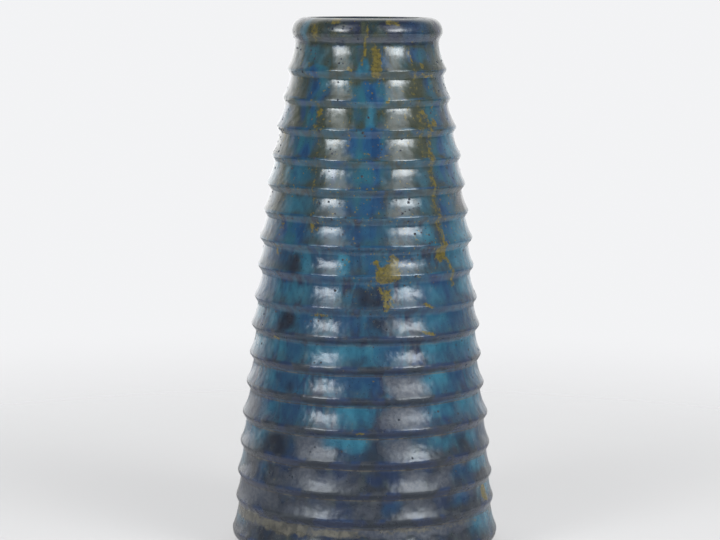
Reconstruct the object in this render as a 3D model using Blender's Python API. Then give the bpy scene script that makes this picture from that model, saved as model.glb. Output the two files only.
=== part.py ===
"""Stoneware vase: a tall ribbed cone with a rolled mouth, glazed outside and inside, on a bare foot.

Run with: blender --background --python part.py

Metres, +Z up, with the origin in the middle of the face that the foot stands on. Every piece is
turned about +Z. From the table up they are the foot ring, the base slab that drops into it, the
ribbed wall that stands on the ring round the slab, and the roll on top of the wall. Two coats of
glaze lie over the clay: one outside, from just inside the mouth to just above the foot, and one
that lines the inside. Pieces that meet keep a small clearance.
"""

import math

import bmesh
import bpy
from mathutils import Vector

# The whole vase
HEIGHT = 0.320
SEGMENTS = 32
CLEARANCE = 0.0003

# The curve through the rib crests: its radius is a cubic in height, given by control radii at the
# foot, at a third and two thirds of the height, and at the top of the mouth
CREST_CURVE = (0.0823, 0.0703, 0.0679, 0.0406)

# Ribs. A phase is a share of the way down from one rib's crest to the next. Near the mouth the groove
# lies at a third of it, and towards the foot it lies closer under the crest above.
TOP_RIB = 0.2903
BOTTOM_RIB = 0.0094
PITCH_GROWTH = 0.0001
GROOVE_DEPTH = 0.0028
GROOVE_PHASE_AT_MOUTH = 0.34
GROOVE_PHASE_AT_FOOT = 0.24
LEAVE_CREST = 0.06
NEAR_CREST = 0.84
# How far each rib strays from its even place, mouth to foot, in millimetres: its crest's height and
# radius, and the depth of the groove under it
RIB_STRAYS_MM = (
    (0.0, 0.4, -0.1), (0.0, -0.7, -0.4), (0.0, 0.0, -0.1), (-0.5, 0.0, -0.4),
    (-0.5, 0.3, 0.1), (1.0, 0.2, -0.2), (1.3, 0.7, 0.3), (1.5, -0.4, 0.4),
    (-0.5, -0.2, -0.1), (0.0, 0.0, 0.4), (0.0, -0.6, 0.3), (0.0, -0.3, 0.3),
    (-0.4, 0.6, 0.1), (-0.9, 0.3, -0.3), (-0.8, 0.3, -0.6), (1.8, -0.3, -0.5),
    (0.0, -0.1, 0.0),
)

# Rolled mouth: an ellipse outside, a tighter one inside, and the neck groove under it
MOUTH_RADIUS = 0.0337
ROLL_TOP_RADIUS = 0.0372
ROLL_RADIUS = 0.0454
ROLL_HALF_HEIGHT = 0.0088
ROLL_OUTER_ANGLES = (-42, -20, 0, 22, 44, 66)
ROLL_INNER_ANGLES = (90, 120, 150, 180)
LIP_SKIRT = 0.002
NECK_HEIGHT = 0.3045
NECK_RADIUS = 0.0434

# Glaze
GLAZE = 0.0008
LINER = 0.0006
GLAZE_FOOT = ((0.0807, 0.0068), (0.0790, 0.0043))

# Clay
CLAY_BORE = MOUTH_RADIUS + GLAZE + CLEARANCE
WALL_FOOT = 0.0038
INSIDE_RUNS = 5
FOOT_RADIUS = 0.0765
FOOT_CHAMFER = 0.0005
FOOT_BORE = 0.062
FOOT_HEIGHT = 0.0035
SLAB_UNDERSIDE = 0.0015
SLAB_TOP = 0.0125
SLAB_RADIUS = 0.0704


def clear_scene():
    for obj in list(bpy.data.objects):
        bpy.data.objects.remove(obj)


def make_material(name, colour, roughness):
    material = bpy.data.materials.new(name)
    material.use_nodes = True
    shader = material.node_tree.nodes["Principled BSDF"]
    shader.inputs["Base Color"].default_value = (*colour, 1.0)
    shader.inputs["Roughness"].default_value = roughness
    shader.inputs["Metallic"].default_value = 0.0
    return material


def crest_line(height):
    """Radius of the smooth curve through the rib crests, at a height."""
    t = height / HEIGHT
    foot, lower, upper, mouth = CREST_CURVE
    s = 1 - t
    return foot * s**3 + 3 * lower * s * s * t + 3 * upper * s * t * t + mouth * t**3


def rib_crests():
    """(radius, height, depth of the groove below) of each rib, mouth to foot. They get taller downwards."""
    steps = len(RIB_STRAYS_MM) - 1
    pitch = (TOP_RIB - BOTTOM_RIB) / steps
    crests = []
    for i, (up, out, deeper) in enumerate(RIB_STRAYS_MM):
        bulge = PITCH_GROWTH * i * (steps - i) / 2
        height = TOP_RIB - pitch * i + bulge + up / 1000
        crests.append((crest_line(height) + out / 1000, height, GROOVE_DEPTH + deeper / 1000))
    return crests


def groove_phase(height):
    return GROOVE_PHASE_AT_FOOT + (GROOVE_PHASE_AT_MOUTH - GROOVE_PHASE_AT_FOOT) * height / HEIGHT


def dip(phase, groove):
    """How deep the surface lies between two crests, 0 to 1: a quick drop to the groove, then a slow rise."""
    turn = phase / groove if phase < groove else (1 - phase) / (1 - groove)
    return (1 - math.cos(math.pi * turn)) / 2


def roll_outline():
    """The rolled mouth, from its inner skirt over the top and down its outside."""
    middle = HEIGHT - ROLL_HALF_HEIGHT
    points = [(MOUTH_RADIUS, middle - LIP_SKIRT)]
    for angle in reversed(ROLL_INNER_ANGLES):
        reach = (ROLL_TOP_RADIUS - MOUTH_RADIUS) * math.cos(math.radians(angle))
        rise = ROLL_HALF_HEIGHT * math.sin(math.radians(angle))
        points.append((ROLL_TOP_RADIUS + reach, middle + rise))
    for angle in reversed(ROLL_OUTER_ANGLES):
        reach = (ROLL_RADIUS - ROLL_TOP_RADIUS) * math.cos(math.radians(angle))
        rise = ROLL_HALF_HEIGHT * math.sin(math.radians(angle))
        points.append((ROLL_TOP_RADIUS + reach, middle + rise))
    return points


def rib_outline():
    """The ribs, from the first crest to the last, then in under the last one to the glaze's lower edge."""
    crests = rib_crests()
    points = []
    for (r0, z0, depth), (r1, z1, _) in zip(crests, crests[1:]):
        groove = groove_phase(z0)
        for phase in (LEAVE_CREST, groove, NEAR_CREST):
            radius = r0 + (r1 - r0) * phase - depth * dip(phase, groove)
            points.append((radius, z0 + (z1 - z0) * phase))
    points.append(crests[-1][:2])
    points.extend(GLAZE_FOOT)
    return points


def inset(points, distance):
    """The outline moved inwards, square to itself, by a distance. Its outer side is on its left."""
    flat = [Vector(p) for p in points]
    sides = [(b - a).normalized() for a, b in zip(flat, flat[1:])]
    inward = [Vector((side.y, -side.x)) for side in sides]
    moved = []
    for i, point in enumerate(flat):
        before = inward[max(i - 1, 0)]
        after = inward[min(i, len(inward) - 1)]
        mitre = (before + after).normalized()
        moved.append(tuple(point + mitre * (distance / mitre.dot(after))))
    return moved


def inside_outline(low):
    """The clay's inner face from a height up to the neck: it follows the crests, in a few straight runs."""
    thickness = crest_line(NECK_HEIGHT) - CLAY_BORE
    step = NECK_HEIGHT / INSIDE_RUNS
    stations = [(crest_line(step * i) - thickness, step * i) for i in range(INSIDE_RUNS + 1)]
    (r0, z0), (r1, z1) = stations[:2]
    start = r0 + (r1 - r0) * (low - z0) / (z1 - z0)
    return [(start, low), *stations[1:]]


def turn(name, outline, material, parent):
    """A solid turned about +Z from an outline of (radius, height) points. Two ends on the axis, or a ring."""
    mesh = bpy.data.meshes.new(name)
    obj = bpy.data.objects.new(name, mesh)
    bpy.context.scene.collection.objects.link(obj)
    obj.parent = parent
    bm = bmesh.new()
    verts = [bm.verts.new((radius, 0, height)) for radius, height in outline]
    edges = [bm.edges.new(pair) for pair in zip(verts, verts[1:])]
    if outline[0][0] > 0:
        edges.append(bm.edges.new((verts[-1], verts[0])))
    bmesh.ops.spin(
        bm, geom=verts + edges, cent=(0, 0, 0), axis=(0, 0, 1),
        angle=math.tau, steps=SEGMENTS, use_merge=True,
    )
    bmesh.ops.remove_doubles(bm, verts=bm.verts, dist=1e-6)
    bmesh.ops.recalc_face_normals(bm, faces=bm.faces)
    bm.to_mesh(mesh)
    bm.free()
    mesh.shade_smooth()
    mesh.set_sharp_from_angle(angle=math.radians(40))
    mesh.materials.append(material)
    return obj


def make_foot_ring(clay, parent):
    outline = [
        (FOOT_BORE, FOOT_HEIGHT),
        (FOOT_RADIUS, FOOT_HEIGHT),
        (FOOT_RADIUS, FOOT_CHAMFER),
        (FOOT_RADIUS - FOOT_CHAMFER, 0),
        (FOOT_BORE, 0),
    ]
    turn("foot_ring", outline, clay, parent)


def make_base_slab(clay, parent):
    """A disc with a wide flange: the disc drops into the foot ring, and the flange rests on it."""
    plug_radius = FOOT_BORE - CLEARANCE
    flange_underside = FOOT_HEIGHT + CLEARANCE
    outline = [
        (0, SLAB_TOP),
        (SLAB_RADIUS, SLAB_TOP),
        (SLAB_RADIUS, flange_underside),
        (plug_radius, flange_underside),
        (plug_radius, SLAB_UNDERSIDE),
        (0, SLAB_UNDERSIDE),
    ]
    turn("base_slab", outline, clay, parent)


def make_wall(clay, parent):
    """The ribbed clay under the outer coat, with a flat top for the roll and a flat foot."""
    glazed = [(NECK_RADIUS, NECK_HEIGHT)] + rib_outline()
    outside = inset(glazed, GLAZE + CLEARANCE)[1:]
    top = NECK_HEIGHT - CLEARANCE
    foot_radius = outside[-1][0] - CLEARANCE
    inside = inside_outline(WALL_FOOT)
    outline = [
        (NECK_RADIUS - GLAZE - CLEARANCE, top),
        *outside,
        (foot_radius, WALL_FOOT),
        *inside[:-1],
        (inside[-1][0], top),
    ]
    turn("stoneware_wall", outline, clay, parent)


def make_rim_roll(clay, parent):
    """The clay roll under the outer coat, luted on the wall's flat top."""
    outside = inset(roll_outline(), GLAZE + CLEARANCE)[1:]
    outline = [
        *outside,
        (NECK_RADIUS - GLAZE - CLEARANCE, NECK_HEIGHT),
        (CLAY_BORE, NECK_HEIGHT),
    ]
    turn("rim_roll", outline, clay, parent)


def make_outer_glaze(glaze, parent):
    """The coat outside: over the roll, into the neck and down the ribs, one even thickness."""
    glazed = roll_outline() + [(NECK_RADIUS, NECK_HEIGHT)] + rib_outline()
    outline = glazed + list(reversed(inset(glazed, GLAZE)))
    turn("outer_glaze", outline, glaze, parent)


def make_inner_glaze(liner, parent):
    """The coat inside: from just under the outer coat in the mouth, down the wall and over the slab."""
    floor = SLAB_TOP + CLEARANCE
    mouth = HEIGHT - ROLL_HALF_HEIGHT - LIP_SKIRT - CLEARANCE
    wall = [(r - CLEARANCE, z) for r, z in inside_outline(floor)]
    outer = [(0, floor), *wall, (wall[-1][0], mouth)]
    inner = [(r - LINER, z) for r, z in reversed(outer[2:])]
    inner += [(outer[1][0] - LINER, floor + LINER), (0, floor + LINER)]
    turn("inner_glaze", outer + inner, liner, parent)


def main():
    clear_scene()
    clay = make_material("bare_stoneware", (0.46, 0.33, 0.23), 0.85)
    glaze = make_material("blue_lustre_glaze", (0.05, 0.14, 0.26), 0.22)
    liner = make_material("dark_liner_glaze", (0.05, 0.07, 0.08), 0.30)
    vase = bpy.data.objects.new("vase", None)
    bpy.context.scene.collection.objects.link(vase)
    make_foot_ring(clay, vase)
    make_base_slab(clay, vase)
    make_wall(clay, vase)
    make_rim_roll(clay, vase)
    make_outer_glaze(glaze, vase)
    make_inner_glaze(liner, vase)


main()
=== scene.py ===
"""Looks of the stoneware vase: a ribbed cone with a rolled mouth, under a running blue lustre glaze.

Every clay and glaze piece is turned by one Geometry Nodes tree, "turned on the wheel", from an outline
of (radius, height) points. The glaze's colours follow the ribs and a list of runs and patches, each at
an azimuth (degrees, 0 in front, growing to the right) and a height (millimetres above the foot).
"""

import math
from types import SimpleNamespace

import bmesh
import bpy
import numpy as np
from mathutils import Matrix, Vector


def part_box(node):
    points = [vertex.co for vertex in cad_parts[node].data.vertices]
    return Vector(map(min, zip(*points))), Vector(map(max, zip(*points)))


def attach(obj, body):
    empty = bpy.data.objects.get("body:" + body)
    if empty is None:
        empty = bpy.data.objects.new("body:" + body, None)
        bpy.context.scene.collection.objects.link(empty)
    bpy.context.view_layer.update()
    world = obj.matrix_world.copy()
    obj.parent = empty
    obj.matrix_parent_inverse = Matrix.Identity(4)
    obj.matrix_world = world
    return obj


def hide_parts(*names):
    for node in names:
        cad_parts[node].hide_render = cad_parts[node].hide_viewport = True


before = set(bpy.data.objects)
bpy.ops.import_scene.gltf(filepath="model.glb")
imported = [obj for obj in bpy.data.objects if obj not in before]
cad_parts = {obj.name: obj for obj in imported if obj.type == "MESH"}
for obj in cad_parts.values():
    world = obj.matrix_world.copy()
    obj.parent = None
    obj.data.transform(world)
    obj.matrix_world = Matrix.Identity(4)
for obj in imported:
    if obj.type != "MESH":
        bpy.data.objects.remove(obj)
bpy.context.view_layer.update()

MM = 0.001
BODY = "root"

# ---- sizes, from the frame
GLAZE_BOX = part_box("outer_glaze")
LINER_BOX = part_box("inner_glaze")
FOOT_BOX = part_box("foot_ring")
SLAB_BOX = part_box("base_slab")
WALL_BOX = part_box("stoneware_wall")
ROLL_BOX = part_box("rim_roll")

HEIGHT = GLAZE_BOX[1].z
NECK_HEIGHT = ROLL_BOX[0].z
WALL_FOOT = WALL_BOX[0].z
LINER_FLOOR = LINER_BOX[0].z
LINER_TOP = LINER_BOX[1].z
FOOT_RADIUS = FOOT_BOX[1].x
FOOT_HEIGHT = FOOT_BOX[1].z
SLAB_RADIUS = SLAB_BOX[1].x
SLAB_TOP = SLAB_BOX[1].z
SLAB_UNDERSIDE = SLAB_BOX[0].z

CLEARANCE = 0.3 * MM
GLAZE = 0.8 * MM
LINER = 0.6 * MM

# The curve through the rib crests: control radii at the foot, a third, two thirds and the mouth
CREST_CURVE = (0.0823, 0.0703, 0.0679, 0.0406)

# The ribs' rule. Rib numbers count crests down from the mouth, and a phase is a share of the way down
# from one crest to the next.
TOP_RIB = 0.2903
BOTTOM_RIB = 0.0094
PITCH_GROWTH = 0.0001
GROOVE_DEPTH = 0.0028
GROOVE_PHASE_AT_MOUTH = 0.29
GROOVE_PHASE_AT_FOOT = 0.22
# How far each rib strays, mouth to foot, in millimetres: crest height, crest radius, groove depth
RIB_STRAYS_MM = (
    (-0.7, 0.5, 0.0), (-0.7, -0.5, -0.2), (-1.2, 0.1, 0.0), (-1.6, 0.1, -0.2),
    (-1.4, 0.4, 0.2), (-0.2, 0.3, 0.0), (0.4, 0.8, 0.3), (1.0, -0.3, 0.4),
    (-0.5, -0.2, -0.1), (0.0, 0.0, 0.4), (0.0, -0.6, 0.3), (0.0, -0.3, 0.3),
    (-0.4, 0.6, 0.1), (-0.9, 0.3, -0.3), (-0.8, 0.3, -0.6), (1.8, -0.3, -0.5),
    (0.0, -0.1, 0.0),
)
# The fine shape of a rib: a rounded crest, a hollow flank, and lower down a sharper groove
HOLLOW_AT_MOUTH = 0.85
HOLLOW_AT_FOOT = 0.92
HOLLOW_POWER = 2.5
FIRST_CREASED_RIB = 6
CREASED_OVER = 5
CREASE = 0.6
ROUNDING = 0.85 * MM
# Rings from a crest to the groove and from there to the next crest, and how they crowd towards both ends
UNDERCUT_STEPS = 8
FLANK_STEPS = 13
CROWDING = 0.095
# Rings round the roll and the neck, and those of the hidden faces
ROLL_STEPS = 30
NECK_STEPS = 14
CLAY_ROLL_STEPS = 12
CLAY_NECK_STEPS = 5
CLAY_PHASES = (0.0, 0.16, 0.32, 0.60, 0.86)
PLAIN_STEPS = 20
RIDGED_STEPS = 120

# Rolled mouth
MOUTH_RADIUS = 0.0337
ROLL_TOP_RADIUS = 0.0372
ROLL_RADIUS = 0.0454
ROLL_HALF_HEIGHT = 0.0084
ROLL_SQUARENESS = 2.1
ROLL_SHARE_OVER = 0.65
LIP_SKIRT = 0.003
NECK_RADIUS = 0.0434
NECK_HOLLOW = 0.7
ROLL_MIDDLE = HEIGHT - ROLL_HALF_HEIGHT
ROLL_FOOT = NECK_HEIGHT + 1.2 * MM

# Lower edge of the glaze, and the clay inside
GLAZE_FOOT = ((0.0809, 0.0078), (0.0806, 0.0062), (0.0799, 0.0050), (0.0790, 0.0043))
CLAY_BORE = MOUTH_RADIUS + GLAZE + CLEARANCE
FOOT_BORE = 0.062
FOOT_CHAMFER = 0.7 * MM
CLAY_ROLL_EDGE = 0.5 * MM

# Soft throwing ridges inside: their pitch, and how far and how fast their pitch drifts up the wall
RIDGE = 0.25 * MM
RIDGE_PITCH = 0.0205
RIDGE_DRIFT = 0.4
RIDGE_DRIFT_RATE = 31

# The turned pieces are out of round, except near the foot and the mouth: a noise moves them outwards and
# upwards by so many times the wobble. It changes faster with height than round them.
WOBBLE = 0.35 * MM
WOBBLE_SCALE = 1.6
WOBBLE_OUT = 1.6
WOBBLE_UP = 4.0
WOBBLE_CLIMB = 22.0
STEADY_BELOW = 10 * MM
STEADY_ABOVE = 310 * MM
# How many sides the pieces have, and the angles in degrees past which their edges look sharp
GLAZE_SIDES = 192
CLAY_SIDES = 96
SHARP_EDGE = 50
SHARP_GLAZE_EDGE = 60
NEVER_SHARP = 180

# Pinholes in the glaze. The outline is (radius, height, share of the way out) in millimetres. It is
# scaled between the smallest and the largest, and the density is to the square metre.
PIT_OUTLINE = (
    (0, 0.03, 0), (0.62, 0.05, 0.5), (0.74, 0.2, 0.8), (0.88, 0.18, 0.9), (1.2, -0.1, 1), (0, -0.2, 1),
)
PIT_SIDES = 9
PIT_DENSITY = 42000.0
PIT_SMALLEST = 0.32
PIT_LARGEST = 0.85
PIT_SEED = 5
# They are thickest above a height in millimetres and where they cluster, and only on faces that look out
THICK_ABOVE = 240
FEWEST = 0.15
SCATTERED = 0.1
FACES_OUT = 0.2
# No pinhole's lip stands out of the vase's own size
UNPITTED_BELOW = 12 * MM
UNPITTED_ABOVE = 318 * MM
UNPITTED_BEYOND = 78.5 * MM


# ---- outlines

def crest_line(height):
    """Radius of the smooth curve through the rib crests, at a height."""
    t = height / HEIGHT
    foot, lower, upper, mouth = CREST_CURVE
    s = 1 - t
    return foot * s**3 + 3 * lower * s * s * t + 3 * upper * s * t * t + mouth * t**3


def rib_crests():
    """(radius, height, depth of the groove below) of each rib, mouth to foot."""
    steps = len(RIB_STRAYS_MM) - 1
    pitch = (TOP_RIB - BOTTOM_RIB) / steps
    crests = []
    for i, (up, out, deeper) in enumerate(RIB_STRAYS_MM):
        height = TOP_RIB - pitch * i + PITCH_GROWTH * i * (steps - i) / 2 + up * MM
        crests.append((crest_line(height) + out * MM, height, GROOVE_DEPTH + deeper * MM))
    return crests


def groove_phase(height):
    return GROOVE_PHASE_AT_FOOT + (GROOVE_PHASE_AT_MOUTH - GROOVE_PHASE_AT_FOOT) * height / HEIGHT


def dip(phase, groove, creased, hollow):
    """How deep the surface lies between two crests, 0 to 1: under the crest to the groove, then the flank."""
    if phase < groove:
        t = phase / groove
        soft = (1 - math.cos(math.pi * t)) / 2
        sharp = 1 - math.cos(math.pi * t / 2)
        return soft + (sharp - soft) * creased
    return 1 - flank((phase - groove) / (1 - groove), hollow)


def flank(share, hollow):
    """How far a flank has come out at a share of its way down: little at first, then faster."""
    return (1 - hollow) * share + hollow * share**HOLLOW_POWER


def raw_radius(height):
    """The glazed surface's radius below the roll, before its corners are rounded."""
    neck_top = (NECK_RADIUS, NECK_HEIGHT)
    if height >= CRESTS[0][1]:
        t = (neck_top[1] - height) / (neck_top[1] - CRESTS[0][1])
        return NECK_RADIUS + (CRESTS[0][0] - NECK_RADIUS) * flank(min(max(t, 0), 1), NECK_HOLLOW)
    i = 0
    while i < len(CRESTS) - 2 and CRESTS[i + 1][1] > height:
        i += 1
    r0, z0, depth = CRESTS[i]
    r1, z1, _ = CRESTS[i + 1]
    phase = (z0 - height) / (z0 - z1)
    if phase > 1:
        return r1
    creased = CREASE * min(max((i - FIRST_CREASED_RIB) / CREASED_OVER, 0), 1)
    hollow = HOLLOW_AT_FOOT + (HOLLOW_AT_MOUTH - HOLLOW_AT_FOOT) * height / HEIGHT
    return r0 + (r1 - r0) * phase - depth * dip(phase, groove_phase(z0), creased, hollow)


def rounded_radii():
    """Heights from foot to mouth and the glazed surface's radius at each, with its corners rounded."""
    step = 0.1 * MM
    heights = np.arange(0, HEIGHT, step)
    raw = np.array([raw_radius(height) for height in heights])
    reach = int(3 * ROUNDING / step)
    weights = np.exp(-0.5 * (np.arange(-reach, reach + 1) * step / ROUNDING) ** 2)
    padded = np.pad(raw, reach, mode="edge")
    return heights, np.convolve(padded, weights / weights.sum(), mode="valid")


def surface_radius(height):
    return float(np.interp(height, *SURFACE))


def rib_point(rib):
    """(radius, height) of the glazed surface at a rib number, such as 3.5 half-way below the fourth crest."""
    i = min(int(rib), len(CRESTS) - 2)
    height = CRESTS[i][1] + (CRESTS[i + 1][1] - CRESTS[i][1]) * (rib - i)
    return surface_radius(height), height


def roll_points(steps):
    """The rolled mouth: from its inner skirt over a squarish ellipse, then down a soft curve to the neck."""
    points = [(MOUTH_RADIUS, ROLL_MIDDLE - LIP_SKIRT)]
    over = round(steps * ROLL_SHARE_OVER)
    for k in range(over + 1):
        angle = math.radians(180 - 180 * k / over)
        reach = abs(math.cos(angle)) ** (2 / ROLL_SQUARENESS)
        rise = abs(math.sin(angle)) ** (2 / ROLL_SQUARENESS) * ROLL_HALF_HEIGHT
        outside = math.cos(angle) > 0
        width = (ROLL_RADIUS - ROLL_TOP_RADIUS) if outside else (MOUTH_RADIUS - ROLL_TOP_RADIUS)
        points.append((ROLL_TOP_RADIUS + reach * width, ROLL_MIDDLE + rise))
    for k in range(1, steps - over + 1):
        t = k / (steps - over)
        receded = (1 - math.cos(math.pi * t)) / 2
        points.append((ROLL_RADIUS + (NECK_RADIUS - ROLL_RADIUS) * receded,
                       ROLL_MIDDLE + (ROLL_FOOT - ROLL_MIDDLE) * t))
    return points


def neck_points(steps):
    """From the neck under the roll down to the first crest."""
    drop = NECK_HEIGHT - CRESTS[0][1]
    heights = [NECK_HEIGHT - drop * share for share in denser_at_ends(steps)]
    return [(surface_radius(height), height) for height in heights]


def denser_at_ends(steps):
    """Shares from 0 up to 1, with 1 left out, closer together near both ends."""
    return [k / steps - CROWDING * math.sin(math.tau * k / steps) for k in range(steps)]


def fine_phases(height):
    """Phases of the rings from a crest at a height to the next, closer together at crests and groove."""
    groove = groove_phase(height)
    under = [groove * share for share in denser_at_ends(UNDERCUT_STEPS)]
    return under + [groove + (1 - groove) * share for share in denser_at_ends(FLANK_STEPS)]


def outline_with_ribs(roll_steps, neck_steps, phases=None):
    """Outside of the vase, mouth to foot, as (radius, height, rib number). The roll is numbered -2 to -1."""
    points = []
    for first, part in ((-2, roll_points(roll_steps)), (-1, neck_points(neck_steps))):
        for k, (radius, height) in enumerate(part):
            points.append((radius, height, first + k / len(part)))
    for i in range(len(CRESTS) - 1):
        for phase in phases or fine_phases(CRESTS[i][1]):
            points.append((*rib_point(i + phase), i + phase))
    points.append((*rib_point(len(CRESTS) - 1), len(CRESTS) - 1))
    for k, (radius, height) in enumerate(GLAZE_FOOT):
        points.append((radius, height, len(CRESTS) - 1 + (k + 1) / len(GLAZE_FOOT)))
    return points


def inset(points, distance):
    """The outline moved inwards, square to itself, by a distance. Its outer side is on its left."""
    flat = [Vector(p[:2]) for p in points]
    sides = [(b - a).normalized() for a, b in zip(flat, flat[1:])]
    inward = [Vector((side.y, -side.x)) for side in sides]
    moved = []
    for i, point in enumerate(flat):
        before = inward[max(i - 1, 0)]
        after = inward[min(i, len(inward) - 1)]
        mitre = (before + after).normalized()
        shift = point + mitre * (distance / max(mitre.dot(after), 0.5))
        moved.append((shift.x, shift.y, *points[i][2:]))
    return moved


def inside_points(low, high, steps, offset=0.0, ridge=0.0):
    """The clay's inner face from a low height to a high one, with soft throwing ridges if wanted."""
    thickness = crest_line(NECK_HEIGHT) - CLAY_BORE
    points = []
    for k in range(steps + 1):
        height = low + (high - low) * k / steps
        turns = height / RIDGE_PITCH + RIDGE_DRIFT * math.sin(height * RIDGE_DRIFT_RATE)
        wave = ridge * (1 + math.cos(math.tau * turns))
        points.append((crest_line(height) - thickness - offset - wave, height))
    return points


CRESTS = rib_crests()
SURFACE = rounded_radii()


# ---- node helpers

def set_inputs(node, inputs):
    """Sets a node's inputs to values, or links them to sockets."""
    for name, value in inputs.items():
        if isinstance(value, bpy.types.NodeSocket):
            node.id_data.links.new(value, node.inputs[name])
        else:
            node.inputs[name].default_value = value


def add_node(tree, kind, inputs=None, **settings):
    """A new node with its settings and its inputs."""
    made = tree.nodes.new(kind)
    for name, value in settings.items():
        setattr(made, name, value)
    set_inputs(made, inputs or {})
    return made


def tree_of(*values):
    """The node tree that the sockets among some values belong to."""
    return next(value.id_data for value in values if isinstance(value, bpy.types.NodeSocket))


def calc(operation, *values):
    """A Math node's result."""
    made = add_node(tree_of(*values), "ShaderNodeMath", dict(enumerate(values)), operation=operation)
    return made.outputs[0]


def product(first, *others):
    """Values multiplied together."""
    for other in others:
        first = calc("MULTIPLY", first, other)
    return first


def total(first, *others):
    """Values added together."""
    for other in others:
        first = calc("ADD", first, other)
    return first


def eased(value, low, high, to_low=0.0, to_high=1.0):
    """A value eased from one range to another."""
    return add_node(tree_of(value), "ShaderNodeMapRange", {
        "Value": value, "From Min": low, "From Max": high, "To Min": to_low, "To Max": to_high},
        interpolation_type="SMOOTHSTEP").outputs[0]


def group_inputs(tree, sockets):
    """Named inputs of a node group, as (name, socket type, default), and its Geometry in and out."""
    tree.interface.new_socket("Geometry", in_out="INPUT", socket_type="NodeSocketGeometry")
    tree.interface.new_socket("Geometry", in_out="OUTPUT", socket_type="NodeSocketGeometry")
    for name, kind, default in sockets:
        made = tree.interface.new_socket(name, in_out="INPUT", socket_type=kind)
        if default is not None:
            made.default_value = default
    return tree.nodes.new("NodeGroupInput").outputs


def finish_tree(tree, geometry, material):
    """Ends a tree: makes instances real and paints them."""
    real = add_node(tree, "GeometryNodeRealizeInstances", {"Geometry": geometry})
    painted = add_node(tree, "GeometryNodeSetMaterial", {"Geometry": real.outputs[0], "Material": material})
    add_node(tree, "NodeGroupOutput", {"Geometry": painted.outputs[0]})
    return tree


def wheel_tree():
    """Turns the points of an outline about the axis, a little out of round, and closes seams and poles."""
    tree = bpy.data.node_groups.new("turned on the wheel", "GeometryNodeTree")
    given = group_inputs(tree, (
        ("Sides", "NodeSocketInt", GLAZE_SIDES),
        ("Wobble", "NodeSocketFloat", WOBBLE),
        ("Wobble Scale", "NodeSocketFloat", WOBBLE_SCALE),
        ("Steady Below", "NodeSocketFloat", STEADY_BELOW),
        ("Steady Above", "NodeSocketFloat", STEADY_ABOVE),
        ("Material", "NodeSocketMaterial", None),
    ))
    columns = total(given["Sides"], 1.0)
    count = add_node(tree, "GeometryNodeAttributeDomainSize", {"Geometry": given["Geometry"]})
    grid = add_node(tree, "GeometryNodeMeshGrid", {
        "Vertices X": count.outputs["Point Count"], "Vertices Y": columns})
    index = tree.nodes.new("GeometryNodeInputIndex").outputs[0]
    row = calc("FLOOR", calc("DIVIDE", total(index, 0.5), columns))
    column = calc("SUBTRACT", index, product(row, columns))
    angle = calc("DIVIDE", product(column, math.tau), given["Sides"])
    place = tree.nodes.new("GeometryNodeInputPosition").outputs[0]
    outline = add_node(tree, "GeometryNodeSampleIndex", {
        "Geometry": given["Geometry"], "Value": place, "Index": row}, data_type="FLOAT_VECTOR")
    numbered = add_node(tree, "GeometryNodeInputNamedAttribute", {"Name": "station"}, data_type="FLOAT")
    rib = add_node(tree, "GeometryNodeSampleIndex", {
        "Geometry": given["Geometry"], "Value": numbered.outputs[0], "Index": row}, data_type="FLOAT")
    flat = add_node(tree, "ShaderNodeSeparateXYZ", {0: outline.outputs[0]})
    radius, height = flat.outputs["X"], flat.outputs["Z"]
    east, north = calc("COSINE", angle), calc("SINE", angle)
    spot = add_node(tree, "ShaderNodeCombineXYZ", {
        "X": east, "Y": north, "Z": product(height, WOBBLE_CLIMB)})
    drift = add_node(tree, "ShaderNodeTexNoise", {
        "Vector": spot.outputs[0], "Scale": given["Wobble Scale"], "Detail": 2.0, "Roughness": 0.5})
    sway = add_node(tree, "ShaderNodeSeparateXYZ", {0: drift.outputs["Color"]})
    amount = product(eased(height, 0.0, given["Steady Below"]), eased(height, HEIGHT, given["Steady Above"]),
                     given["Wobble"])
    out = product(calc("SUBTRACT", sway.outputs["X"], 0.5), amount)
    up = product(calc("SUBTRACT", sway.outputs["Y"], 0.5), amount)
    off_axis = calc("GREATER_THAN", radius, 1e-6)
    wide = total(radius, product(out, WOBBLE_OUT, off_axis))
    tall_now = total(height, product(up, WOBBLE_UP, off_axis))
    turned = add_node(tree, "ShaderNodeCombineXYZ", {
        "X": product(wide, east), "Y": product(wide, north), "Z": tall_now})
    shaped = add_node(tree, "GeometryNodeSetPosition", {
        "Geometry": grid.outputs["Mesh"], "Position": turned.outputs[0]})
    kept = add_node(tree, "GeometryNodeStoreNamedAttribute", {
        "Geometry": shaped.outputs[0], "Name": "station", "Value": rib.outputs[0]}, data_type="FLOAT")
    closed = add_node(tree, "GeometryNodeMergeByDistance", {
        "Geometry": kept.outputs[0], "Distance": 1e-6})
    return finish_tree(tree, closed.outputs[0], given["Material"])


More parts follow.
